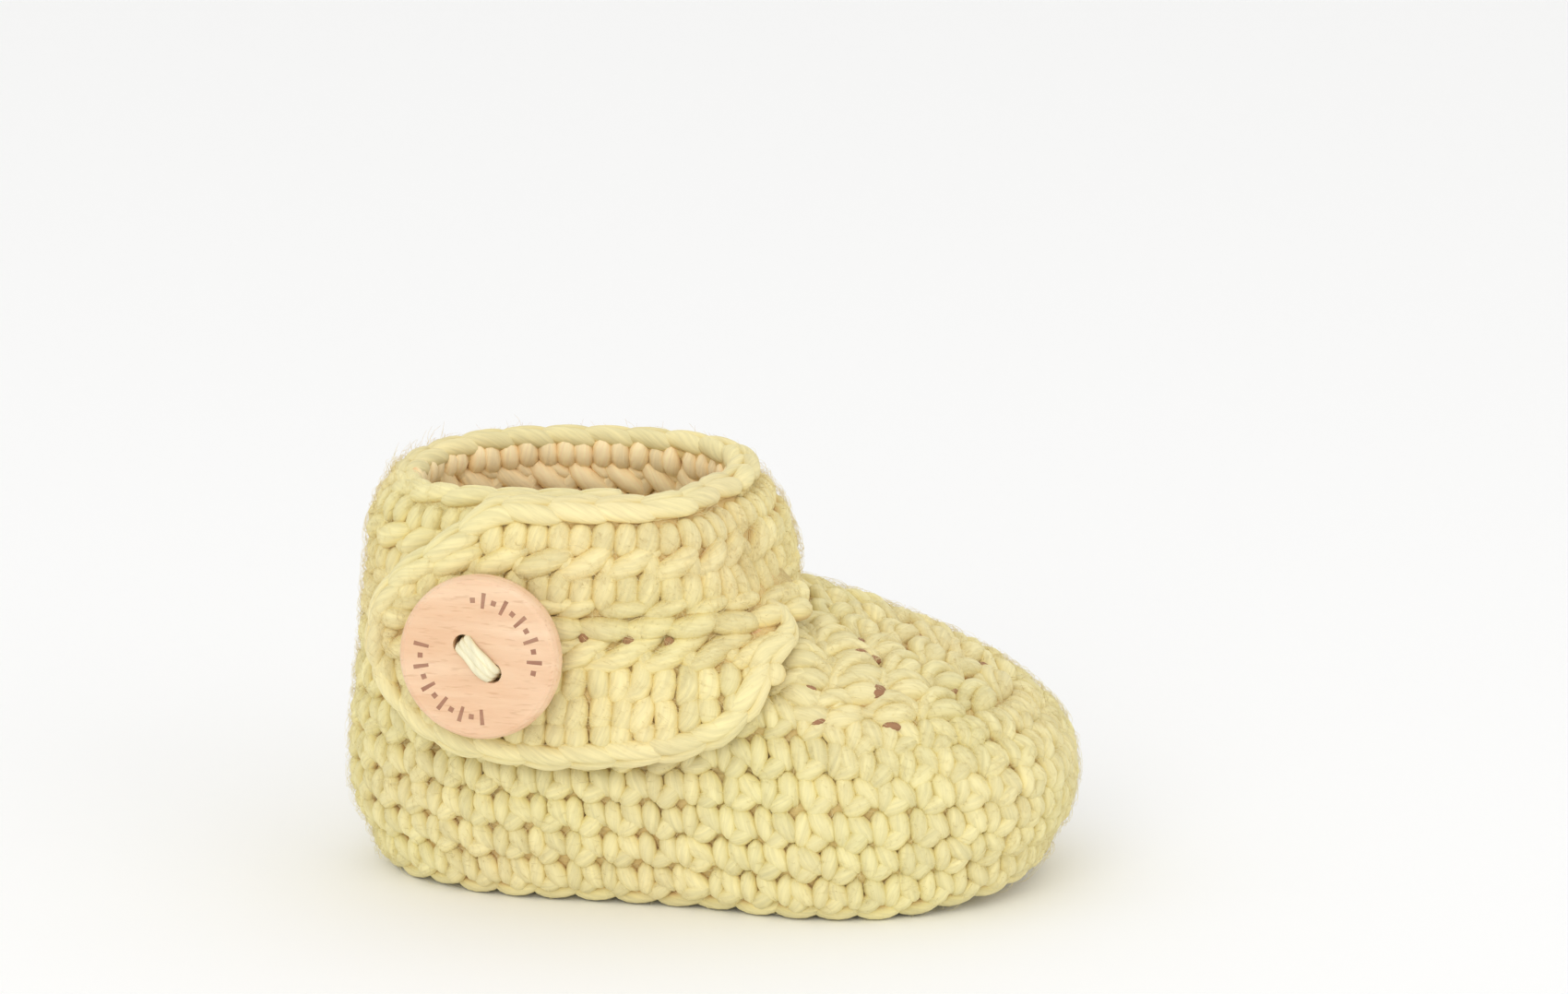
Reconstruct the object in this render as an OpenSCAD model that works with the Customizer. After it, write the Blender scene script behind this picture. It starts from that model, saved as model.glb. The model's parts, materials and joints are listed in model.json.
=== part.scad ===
// A crocheted baby bootie: an oval sole, a foot worked up from it in rounds, an ankle cuff,
// and a wrap flap that closes over the outer side of the ankle under a wooden button.
// X runs from heel to toe, the flap and button are on the -Y side, and Z = 0 is the ground.

/* [Foot] */
// Length from the back of the heel to the tip of the toe
foot_length = 93.5; // [84:0.5:104]
// Greatest width of the foot
foot_width = 48; // [45:1:54]
// Height of the top of the ankle cuff, below its rim
cuff_height = 49.5; // [46:0.5:55]
// Thickness of the crocheted fabric
fabric = 4; // [3.5:0.1:4.4]
// Diameter of the raised yarn rounds and edgings
round_d = 3.6; // [3:0.1:4.2]

/* [Flap] */
// Fabric left around the button at the flap's rounded tip
tip_margin = 2; // [1.2:0.1:2.4]
// Height of the flap's lower edge at its lowest
flap_bottom = 22; // [20:0.5:23]

/* [Button] */
// Diameter of the wooden button
button_d = 20; // [18:0.5:22]
// Thickness of the button at its rim
button_t = 3.2; // [2.6:0.1:4]
// Diameter of each of the two holes in the button
button_hole_d = 2.5; // [2.5:0.1:3.2]
// Distance between the centres of the two holes
button_hole_gap = 4.8; // [4.6:0.1:5.4]
// Diameter of the yarn that sews the button on
sew_yarn_d = 2.2; // [1.8:0.1:2.4]

/* [Hidden] */

yarn_colour = "#ead995";
edging_colour = "#efe0a6";
wood_colour = "#e8bd97";

// Level rings of the outer surface, from the sole's edge to the cuff's top:
// [height / cuff_height, back / foot_length, front / foot_length,
//  half width / foot_width, widening towards the toe / foot_width, roundness of the ring]
LEVELS = [
    [0.085, -0.462, 0.456, 0.436, 0.104, 0.80],
    [0.190, -0.489, 0.483, 0.458, 0.108, 0.79],
    [0.289, -0.492, 0.486, 0.462, 0.108, 0.78],
    [0.368, -0.491, 0.474, 0.458, 0.100, 0.79],
    [0.453, -0.486, 0.434, 0.450, 0.080, 0.81],
    [0.525, -0.481, 0.377, 0.442, 0.058, 0.83],
    [0.598, -0.476, 0.293, 0.434, 0.034, 0.84],
    [0.655, -0.472, 0.205, 0.428, 0.014, 0.83],
    [0.697, -0.469, 0.113, 0.424, 0.000, 0.80],
    [0.808, -0.464, 0.108, 0.418, 0.000, 0.79],
    [0.919, -0.457, 0.090, 0.408, 0.000, 0.81],
    [1.000, -0.438, 0.060, 0.386, 0.000, 0.85]
];
wall_bottom = LEVELS[0][0] * cuff_height;
wall_top = LEVELS[3][0] * cuff_height;
cuff_bottom = LEVELS[8][0] * cuff_height;

ring_step = 7.5;          // degrees between the points of a ring
toe_half_angle = 67.5;    // the toe cap reaches this far to each side of the toe
cuff_start = -18;         // the cuff's front end, beside the flap's root
cuff_end = 288;           // the cuff's other end, hidden under the flap
tube_sides = 8;
flap_gap = 0.7;           // clearance between the flap and the fabric under it
running_gap = 0.06;       // clearance of the sewing yarn in the flap

// ---- Surface of the foot and ankle ----

function signed_power(value, power) = sign(value) * pow(abs(value), power);

function level_index(z, i = 0) =
    i >= len(LEVELS) - 2 || z < LEVELS[i + 1][0] * cuff_height ? i : level_index(z, i + 1);

// The ring of the outer surface at height z, blended smoothly between the levels.
function ring_at(z) =
    let (i = level_index(z),
         b = LEVELS[i],
         c = LEVELS[i + 1],
         a = i > 0 ? LEVELS[i - 1] : 2 * b - c,
         d = i + 2 < len(LEVELS) ? LEVELS[i + 2] : 2 * c - b,
         f = (z / cuff_height - b[0]) / (c[0] - b[0]))
    0.5 * (2 * b + (c - a) * f + (2 * a - 5 * b + 4 * c - d) * f * f
           + (3 * b - a - 3 * c + d) * f * f * f);

function ring_centre(ring) = (ring[1] + ring[2]) / 2 * foot_length;
function ring_reach(ring) = (ring[2] - ring[1]) / 2 * foot_length;

function mix(a, b, share) = a + (b - a) * share;
function ease(value, low, high) =
    let (s = max(0, min(1, (value - low) / (high - low)))) s * s * (3 - 2 * s);
function bump(value, middle, reach) = pow(max(0, 1 - pow((value - middle) / reach, 2)), 2);

// The width of the foot near the ground: full at the heel and the ball, drawn in between them.
function foot_outline(x, z) =
    let (u = x / foot_length)
    1 + (1 - ease(z, wall_bottom, wall_top))
        * (0.07 * bump(u, -0.36, 0.2) - 0.06 * bump(u, -0.06, 0.2) + 0.08 * bump(u, 0.17, 0.2));

// A point of the surface at an angle from the toe, moved level by grow.
function skin(angle, z, grow = 0) =
    let (ring = ring_at(z),
         x = ring_centre(ring) + (ring_reach(ring) + grow) * signed_power(cos(angle), ring[5]),
         half = (ring[3] + ring[4] * cos(angle)) * foot_width * foot_outline(x, z))
    [x, (half + grow) * signed_power(sin(angle), ring[5]), z];

function unit(v) = v / norm(v);

function normal(angle, z, grow = 0) =
    unit(cross(skin(angle + 2, z, grow) - skin(angle - 2, z, grow),
               skin(angle, z + 0.5, grow) - skin(angle, z - 0.5, grow)));

// A point one fabric thickness inside the surface.
function inside(angle, z) = skin(angle, z) - fabric * normal(angle, z);

// The angle, on the -Y side, at which the ring at height z has a given x.
function angle_at(x, z) =
    let (ring = ring_at(z), share = (x - ring_centre(ring)) / ring_reach(ring))
    360 - acos(signed_power(max(-1, min(1, share)), 1 / ring[5]));

// ---- Solids from grids of points ----

function quad(a, b, c, d) = [[a, b, c], [a, c, d]];

// A wall between two grids of the same size, rows going up and columns going round.
module wall(outer, inner, closed) {
    rows = len(outer);
    cols = len(outer[0]);
    spans = closed ? cols : cols - 1;
    count = rows * cols;
    function at(j, i) = j * cols + i % cols;
    faces = [
        for (i = [0:spans - 1]) each [
            for (j = [0:rows - 2]) each concat(
                quad(at(j, i), at(j + 1, i), at(j + 1, i + 1), at(j, i + 1)),
                quad(count + at(j, i), count + at(j, i + 1), count + at(j + 1, i + 1), count + at(j + 1, i))),
            each quad(at(0, i), at(0, i + 1), count + at(0, i + 1), count + at(0, i)),
            each quad(at(rows - 1, i), count + at(rows - 1, i), count + at(rows - 1, i + 1), at(rows - 1, i + 1))
        ],
        if (!closed) for (j = [0:rows - 2]) each concat(
            quad(at(j, 0), count + at(j, 0), count + at(j + 1, 0), at(j + 1, 0)),
            quad(at(j, cols - 1), at(j + 1, cols - 1), count + at(j + 1, cols - 1), count + at(j, cols - 1)))
    ];
    polyhedron(concat([for (row = outer) each row], [for (row = inner) each row]), faces, convexity = 8);
}

// A round cord along a list of points, closed on itself or with flat ends.
module cord(path, d, closed) {
    n = len(path);
    ahead = function (i) path[closed ? (i + 1) % n : min(i + 1, n - 1)];
    behind = function (i) path[closed ? (i + n - 1) % n : max(i - 1, 0)];
    points = [
        for (i = [0:n - 1])
            let (along = unit(ahead(i) - behind(i)),
                 side = unit(cross(along, [0.05, 0.02, 1])),
                 up = cross(side, along))
            for (k = [0:tube_sides - 1])
                let (a = (k + 0.5) * 360 / tube_sides)
                path[i] + d / 2 * (cos(a) * side + sin(a) * up)
    ];
    spans = closed ? n : n - 1;
    function at(i, k) = (i % n) * tube_sides + k % tube_sides;
    faces = [
        for (i = [0:spans - 1]) for (k = [0:tube_sides - 1])
            each quad(at(i, k), at(i, k + 1), at(i + 1, k + 1), at(i + 1, k)),
        if (!closed) [for (k = [0:tube_sides - 1]) at(0, tube_sides - 1 - k)],
        if (!closed) [for (k = [0:tube_sides - 1]) at(n - 1, k)]
    ];
    polyhedron(points, faces, convexity = 8);
}

function angles(from, to, step) =
    let (n = ceil((to - from) / step)) [for (i = [0:n]) from + (to - from) * i / n];
full_turn = [for (a = [0:ring_step:360 - ring_step]) a];

// The wall of the foot between two heights. Its level ends lie flat, so that the pieces meet.
module foot_wall(heights, turn, closed) {
    last = len(heights) - 1;
    wall([for (z = heights) [for (a = turn) skin(a, z)]],
         [for (j = [0:last]) [for (a = turn)
             j == 0 || j == last ? skin(a, heights[j], -fabric) : inside(a, heights[j])]],
         closed);
}

// ---- Foot ----

module sole_slab(bottom, top, inset) {
    translate([0, 0, bottom])
        linear_extrude(top - bottom)
            polygon([for (a = full_turn) let (p = skin(a, wall_bottom, -inset)) [p.x, p.y]]);
}

module sole() {
    color(yarn_colour) {
        sole_slab(0, 1.6, 3.2);
        sole_slab(1.6, wall_bottom, 0.6);
    }
}

module sole_edge_round() {
    color(edging_colour)
        cord([for (a = full_turn) skin(a, wall_bottom, -1)], round_d, true);
}

module side_wall() {
    color(yarn_colour)
        foot_wall([for (i = [0:4]) mix(wall_bottom, wall_top, i / 4)], full_turn, true);
}

module toe_cap() {
    heights = [for (i = [0:6]) mix(wall_top, cuff_bottom, i / 6)];
    color(yarn_colour)
        foot_wall(heights, angles(-toe_half_angle, toe_half_angle, ring_step), false);
}

module heel_quarter() {
    heights = [for (i = [0:6]) mix(wall_top, cuff_bottom, i / 6)];
    color(yarn_colour)
        foot_wall(heights, angles(toe_half_angle, 360 - toe_half_angle, ring_step), false);
}

// ---- Ankle ----

module cuff_join_round() {
    color(edging_colour)
        cord([for (a = angles(cuff_start + 4, 206, ring_step)) skin(a, cuff_bottom, -0.6)], round_d, false);
}

module ankle_cuff() {
    heights = [for (i = [0:5]) mix(cuff_bottom, cuff_height, i / 5)];
    turn = angles(cuff_start, cuff_end, ring_step);
    color(yarn_colour)
        wall([for (z = heights) [for (a = turn) skin(a, z)]],
             [for (z = heights) [for (a = turn) skin(a, z, -fabric)]],
             false);
}

module cuff_rim() {
    color(edging_colour)
        cord([for (a = angles(cuff_start + 1, cuff_end - 1, ring_step))
                 skin(a, cuff_height, -fabric / 2) + [0, 0, 0.5]],
             round_d, false);
}

// ---- Wrap flap ----
// The flap is drawn in the plane of the foot's length and height, seen from its own side, and
// laid on the surface. Its tip is round the button, its upper edge slants up to the cuff's rim,
// and its lower edge rises over the instep to the root at the front of the ankle.

button_x = -0.2505 * foot_length;
button_z = 0.684 * cuff_height;
tip_r = button_d / 2 + tip_margin;
slant = 41;                             // slope of the flap's upper edge
root_angle = cuff_start + 360 - 1.5;    // where the flap joins the cuff
root_z = cuff_bottom + 2.6;
flap_top = cuff_height + 0.4;
flap_columns = 30;
flap_rows = 9;
tip_lift = 2;                           // how far the tip stands off the heel's curve
instep_lift = 2.3;                      // how far the lower front corner stands off the instep

// How far the flap lies outside the surface: on it over the cuff's hidden end and the foot,
// and one fabric thickness further in towards its root, where it carries on the cuff's own wall.
function flap_lift(angle, z) =
    mix(flap_gap + tip_lift * (1 - ease(angle, 215, 275))
            + instep_lift * ease(angle, 300, 322) * (1 - ease(z, cuff_bottom, cuff_bottom + 4)),
        -fabric,
        ease(angle, 292, 330) * ease(z, cuff_bottom + 0.8, cuff_bottom + 8));

function on_flap(p, depth) = skin(p[0], p[1], flap_lift(p[0], p[1]) + depth);

// The lower edge beyond the tip, as [x / foot_length, z / cuff_height].
LOWER_EDGE = [[-0.2505, 0], [-0.18, -0.012], [-0.1, 0], [-0.03, 0.02], [0.022, 0.06],
              [0.052, 0.12], [0.064, 0.2], [0.062, 0.33]];
tip_bottom = button_z - tip_r;

function lower_edge(share) =
    let (t = share * (len(LOWER_EDGE) - 1),
         i = min(floor(t), len(LOWER_EDGE) - 2),
         p = mix(LOWER_EDGE[i], LOWER_EDGE[i + 1], t - i),
         x = p[0] * foot_length,
         z = min(root_z, mix(tip_bottom, flap_bottom, ease(share, 0, 0.3)) + p[1] * cuff_height))
    [min(angle_at(x, z), root_angle), z];

function tip_point(a) =
    let (x = button_x + tip_r * cos(a), z = button_z + tip_r * sin(a)) [angle_at(x, z), z];

slant_length = (flap_top - (button_z + tip_r * cos(slant))) / sin(slant);
function slant_point(s) =
    let (x = button_x - tip_r * sin(slant) + s * cos(slant),
         z = button_z + tip_r * cos(slant) + s * sin(slant))
    [angle_at(x, z), z];

// Both edges run from the tip to the root in the same number of steps.
arc_share = 0.3;
function bottom_edge(u) =
    u < arc_share ? tip_point(mix(186, 270, u / arc_share))
                  : lower_edge((u - arc_share) / (1 - arc_share));
slant_share = 0.5;
function top_edge(u) =
    u < arc_share ? tip_point(mix(174, 90 + slant, u / arc_share))
    : u < slant_share ? slant_point((u - arc_share) / (slant_share - arc_share) * slant_length)
    : [mix(slant_point(slant_length)[0], root_angle, (u - slant_share) / (1 - slant_share)), flap_top];

module flap_panel() {
    grid = [for (j = [0:flap_rows]) [for (i = [0:flap_columns])
        mix(bottom_edge(i / flap_columns), top_edge(i / flap_columns), j / flap_rows)]];
    wall([for (row = grid) [for (p = row) on_flap(p, fabric)]],
         [for (row = grid) [for (p = row) on_flap(p, 0)]],
         false);
}

// The button's axis stands on the flap at the centre of its tip, and leans towards the heel
// and upwards as the flap does.
button_foot = on_flap([angle_at(button_x, button_z), button_z], fabric);
button_yaw = 9;
button_pitch = 4.5;
button_axis = unit([-tan(button_yaw), -1, tan(button_pitch)]);

module along_button() {
    translate(button_foot)
        rotate([0, acos(button_axis.z), atan2(button_axis.y, button_axis.x)])
            children();
}

knot_r = 3;
knot_t = 1.4;
knot_base = 0.5 - fabric;               // the knot sits in the flap's back
shank_r = sew_yarn_d / 2 + 0.4;

module wrap_flap() {
    color(yarn_colour)
        difference() {
            flap_panel();
            along_button() {
                translate([0, 0, -2 * fabric])
                    cylinder(r = shank_r + running_gap, h = 4 * fabric, $fn = 48);
                translate([0, 0, -2 * fabric])
                    cylinder(r = knot_r + running_gap, h = 2 * fabric + knot_base + knot_t + 0.2, $fn = 48);
            }
        }
}

module flap_edging() {
    steps = 32;
    edge = concat([for (i = [steps:-1:0]) top_edge(i / steps)], [for (i = [0:steps]) bottom_edge(i / steps)]);
    color(edging_colour)
        cord([for (p = edge) on_flap(p, fabric / 2 + 0.2)], round_d, false);
}

// ---- Button and its sewing yarn ----

button_lift = 1.4;        // the button stands this far off the flap on its yarn
rim_round = 0.9;
hole_turn = -42;         // the two holes slope down towards the toe

module button() {
    r = button_d / 2;
    color(wood_colour)
        along_button()
            translate([0, 0, button_lift])
                difference() {
                    rotate_extrude($fn = 96)
                        polygon(concat(
                            [[0, 0], [r - rim_round, 0]],
                            [for (a = [-60:30:90]) [r - rim_round + rim_round * cos(a),
                                                   button_t / 2 + (button_t / 2) * sin(a)]],
                            [[0, button_t]]));
                    for (side = [-1, 1])
                        rotate(hole_turn)
                            translate([0, side * button_hole_gap / 2, -1])
                                cylinder(d = button_hole_d, h = button_t + 2, $fn = 48);
                }
}

module button_yarn() {
    r = sew_yarn_d / 2;
    bar = button_lift + button_t + r + 0.05;
    color(edging_colour)
        along_button() {
            translate([0, 0, knot_base + knot_t + 0.26])
                cylinder(r = shank_r, h = button_lift - 0.4 - (knot_base + knot_t + 0.26), $fn = 48);
            translate([0, 0, button_lift - 0.45])
                cylinder(r = button_hole_gap / 2 + r, h = 0.4, $fn = 48);
            rotate(hole_turn) {
                for (side = [-1, 1])
                    translate([0, side * button_hole_gap / 2, 0]) {
                        translate([0, 0, button_lift - 0.2])
                            cylinder(r = r, h = bar - button_lift + 0.2, $fn = 48);
                        translate([0, 0, bar])
                            sphere(r = r, $fn = 48);
                    }
                translate([0, -button_hole_gap / 2, bar])
                    rotate([-90, 0, 0])
                        cylinder(r = r, h = button_hole_gap, $fn = 48);
            }
        }
}

module yarn_knot() {
    color(edging_colour)
        along_button()
            translate([0, 0, knot_base])
                cylinder(r = knot_r, h = knot_t, $fn = 48);
}

sole();
sole_edge_round();
side_wall();
toe_cap();
heel_quarter();
cuff_join_round();
ankle_cuff();
cuff_rim();
wrap_flap();
flap_edging();
button();
button_yarn();
yarn_knot();
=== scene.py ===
import json
import math

import bpy
import numpy as np
from mathutils import Matrix, Vector


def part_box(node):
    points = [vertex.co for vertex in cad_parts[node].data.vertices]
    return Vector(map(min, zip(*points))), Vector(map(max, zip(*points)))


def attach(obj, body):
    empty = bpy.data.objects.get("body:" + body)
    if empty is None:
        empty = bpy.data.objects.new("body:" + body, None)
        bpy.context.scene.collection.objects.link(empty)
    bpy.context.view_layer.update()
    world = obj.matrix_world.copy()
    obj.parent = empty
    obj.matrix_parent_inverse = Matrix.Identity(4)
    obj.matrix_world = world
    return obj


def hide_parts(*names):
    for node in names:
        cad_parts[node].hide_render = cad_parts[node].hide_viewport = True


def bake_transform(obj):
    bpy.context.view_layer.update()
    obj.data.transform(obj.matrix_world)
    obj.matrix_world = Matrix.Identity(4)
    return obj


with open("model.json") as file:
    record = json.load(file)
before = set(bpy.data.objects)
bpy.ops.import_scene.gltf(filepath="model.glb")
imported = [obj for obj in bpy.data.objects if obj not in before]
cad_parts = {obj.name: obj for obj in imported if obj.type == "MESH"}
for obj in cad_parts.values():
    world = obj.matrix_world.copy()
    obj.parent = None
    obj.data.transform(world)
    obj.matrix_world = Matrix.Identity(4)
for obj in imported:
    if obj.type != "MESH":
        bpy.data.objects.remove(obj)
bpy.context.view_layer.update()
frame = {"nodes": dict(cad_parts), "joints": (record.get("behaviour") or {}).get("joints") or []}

MM = 0.001
rng = np.random.default_rng(7)


# ---------------------------------------------------------------- sizes, from the frame

def size_of(node):
    low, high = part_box(node)
    return np.array(low), np.array(high)


wall_low, wall_high = size_of("side_wall")
_, sole_high = size_of("sole")
cuff_low, cuff_high = size_of("ankle_cuff")

FOOT_LENGTH = wall_high[0] - wall_low[0]
FOOT_WIDTH = 1.0036 * (wall_high[1] - wall_low[1])     # the levels below are fractions of this
CUFF_TOP = cuff_high[2]
CUFF_BOTTOM = cuff_low[2]
WALL_BOTTOM = sole_high[2]
WALL_TOP = wall_high[2]
FABRIC = 4 * MM                 # thickness of the crochet
TOE_SPRING = 2.2 * MM           # how far the toe's underside stands off the ground

# The rings of the foot and ankle, as the CAD part has them:
# height / cuff top, back / length, front / length, half width / width,
# widening towards the toe / width, roundness.
LEVELS = np.array([
    [0.085, -0.462, 0.456, 0.436, 0.104, 0.80],
    [0.190, -0.489, 0.483, 0.458, 0.108, 0.79],
    [0.289, -0.492, 0.486, 0.462, 0.108, 0.78],
    [0.368, -0.491, 0.474, 0.458, 0.100, 0.79],
    [0.453, -0.486, 0.434, 0.450, 0.080, 0.81],
    [0.525, -0.481, 0.377, 0.442, 0.058, 0.83],
    [0.598, -0.476, 0.293, 0.434, 0.034, 0.84],
    [0.655, -0.472, 0.205, 0.428, 0.014, 0.83],
    [0.697, -0.469, 0.113, 0.424, 0.000, 0.80],
    [0.808, -0.464, 0.108, 0.418, 0.000, 0.79],
    [0.919, -0.457, 0.090, 0.408, 0.000, 0.81],
    [1.000, -0.438, 0.060, 0.386, 0.000, 0.85],
])
LEVEL_Z = LEVELS[:, 0] * CUFF_TOP

# Angles are in degrees about the upright, from the toe by the inner side and the heel.
TOE_HALF_ANGLE = 67.5           # the toe cap reaches this far to each side
CUFF_START = -18.0              # the cuff starts at the flap's root and ends under the flap
CUFF_END = 288.0

TURN_STEP = 1.0                 # steps that slopes are taken over, in degrees and in height
HEIGHT_STEP = 0.4 * MM


# ---------------------------------------------------------------- surfaces

def ease(value, low, high):
    s = np.clip((np.asarray(value, float) - low) / max(high - low, 1e-12), 0, 1)
    return s * s * (3 - 2 * s)


def mix(a, b, share):
    return a + (b - a) * share


def signed_power(value, power):
    return np.sign(value) * np.abs(value) ** power


def unit(vectors):
    return vectors / np.maximum(np.linalg.norm(vectors, axis=-1, keepdims=True), 1e-12)


def travelled(points):
    """How far along a line of points each of them lies."""
    return np.concatenate([[0], np.cumsum(np.linalg.norm(np.diff(points, axis=0), axis=1))])


def ring_at(z):
    """The ring of the outer surface at each height, blended smoothly between the levels."""
    z = np.asarray(z, float)
    last = len(LEVELS) - 1
    i = np.clip(np.searchsorted(LEVEL_Z, z, side="right") - 1, 0, last - 1)
    b = LEVELS[i]
    c = LEVELS[i + 1]
    a = np.where((i > 0)[..., None], LEVELS[np.maximum(i - 1, 0)], 2 * b - c)
    d = np.where((i + 2 <= last)[..., None], LEVELS[np.minimum(i + 2, last)], 2 * c - b)
    f = ((z - LEVEL_Z[i]) / (LEVEL_Z[i + 1] - LEVEL_Z[i]))[..., None]
    return 0.5 * (2 * b + (c - a) * f + (2 * a - 5 * b + 4 * c - d) * f ** 2 + (3 * b - a - 3 * c + d) * f ** 3)


def bump(value, middle, reach):
    return np.maximum(0, 1 - ((value - middle) / reach) ** 2) ** 2


def foot_outline(x, z):
    """The width of the foot near the ground: full at the heel and the ball, drawn in between them."""
    u = x / FOOT_LENGTH
    swell = 0.07 * bump(u, -0.36, 0.2) - 0.06 * bump(u, -0.06, 0.2) + 0.08 * bump(u, 0.17, 0.2)
    return 1 + (1 - ease(z, WALL_BOTTOM, WALL_TOP)) * swell


def middle_and_reach(ring):
    """The middle of a ring along the foot, and half its length."""
    return (ring[..., 1] + ring[..., 2]) / 2 * FOOT_LENGTH, (ring[..., 2] - ring[..., 1]) / 2 * FOOT_LENGTH


def toe_lift(x):
    return TOE_SPRING * ease(x, 0.24 * FOOT_LENGTH, 0.5 * FOOT_LENGTH)


def skin(angle, z, grow=0.0):
    """A point of the foot or ankle at an angle and a height, moved out by grow. Below the wall it rounds under
    the sole, and the toe's underside springs a little off the ground."""
    angle, z, grow = np.broadcast_arrays(np.asarray(angle, float), np.asarray(z, float), np.asarray(grow, float))
    under = np.clip(WALL_BOTTOM - z, 0, WALL_BOTTOM)
    grow = grow - (WALL_BOTTOM - np.sqrt(np.maximum(WALL_BOTTOM ** 2 - under ** 2, 0)))
    ring = ring_at(np.maximum(z, WALL_BOTTOM))
    turn = np.radians(angle)
    centre, reach = middle_and_reach(ring)
    x = centre + (reach + grow) * signed_power(np.cos(turn), ring[..., 5])
    half = (ring[..., 3] + ring[..., 4] * np.cos(turn)) * FOOT_WIDTH * foot_outline(x, z)
    y = (half + grow) * signed_power(np.sin(turn), ring[..., 5])
    return np.stack([x, y, z + toe_lift(x) * (1 - ease(z, 0, WALL_TOP))], axis=-1)


# Patches are surfaces to lay stitches on, each a function of two measures a and b. skin is one, with the angle
# and the height. Where a patch faces the other way, a is counted the other way.

SOLE_Z = 0.9 * MM               # the height of the surface that the sole's stitches are laid on


def sole_patch(a, b):
    """The sole's underside. a is the angle, b the distance in from its edge; it faces down."""
    p = skin(-np.asarray(a, float), WALL_BOTTOM, -np.asarray(b, float))
    p[..., 2] = SOLE_Z + toe_lift(p[..., 0])
    return p


def insole_patch(a, b):
    """The sole's upper face, inside the foot."""
    p = skin(a, WALL_BOTTOM, -np.asarray(b, float))
    p[..., 2] = WALL_BOTTOM
    return p


def inner_patch(a, b):
    """The inner face of the foot and ankle, one fabric thickness in. It faces the foot."""
    a = -np.asarray(a, float)
    step = 0.5 * MM
    n = np.cross(skin(a + 1, b) - skin(a - 1, b), skin(a, b + step) - skin(a, b - step))
    return skin(a, b) - unit(n) * FABRIC


# ---------------------------------------------------------------- yarn

OUTER_LIFT = -1.1 * MM          # the yarn's crowns stand about 0.6 mm proud of the skin
UNDER_LIFT = -1.4 * MM          # the same for the flap's back
CORE_OUT = -0.95 * MM           # the two faces of the plain fabric behind the stitches
CORE_IN = -2.7 * MM

# Painted shade, from 0 for a crown painted light to 1 for a hollow painted dark, set by how far into the crevices a
# surface looks.
CORE_SHADE = 0.6                 # the plain fabric behind the stitches
YARN_SHADE = 0.72                # the sides of a stitch
BACK_SHADE = 0.7                 # the most for stitches that are also seen from behind
FLAP_SHADE = 0.72                # the same for the flap's outer stitches
HOLLOW_SHADE = 2.0               # past 1, so that all of a hollow is dark

# How finely a stitch is modelled: rings along it and sides round it.
FINE, COARSE, LONG = (9, 10), (7, 8), (11, 10)


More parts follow.
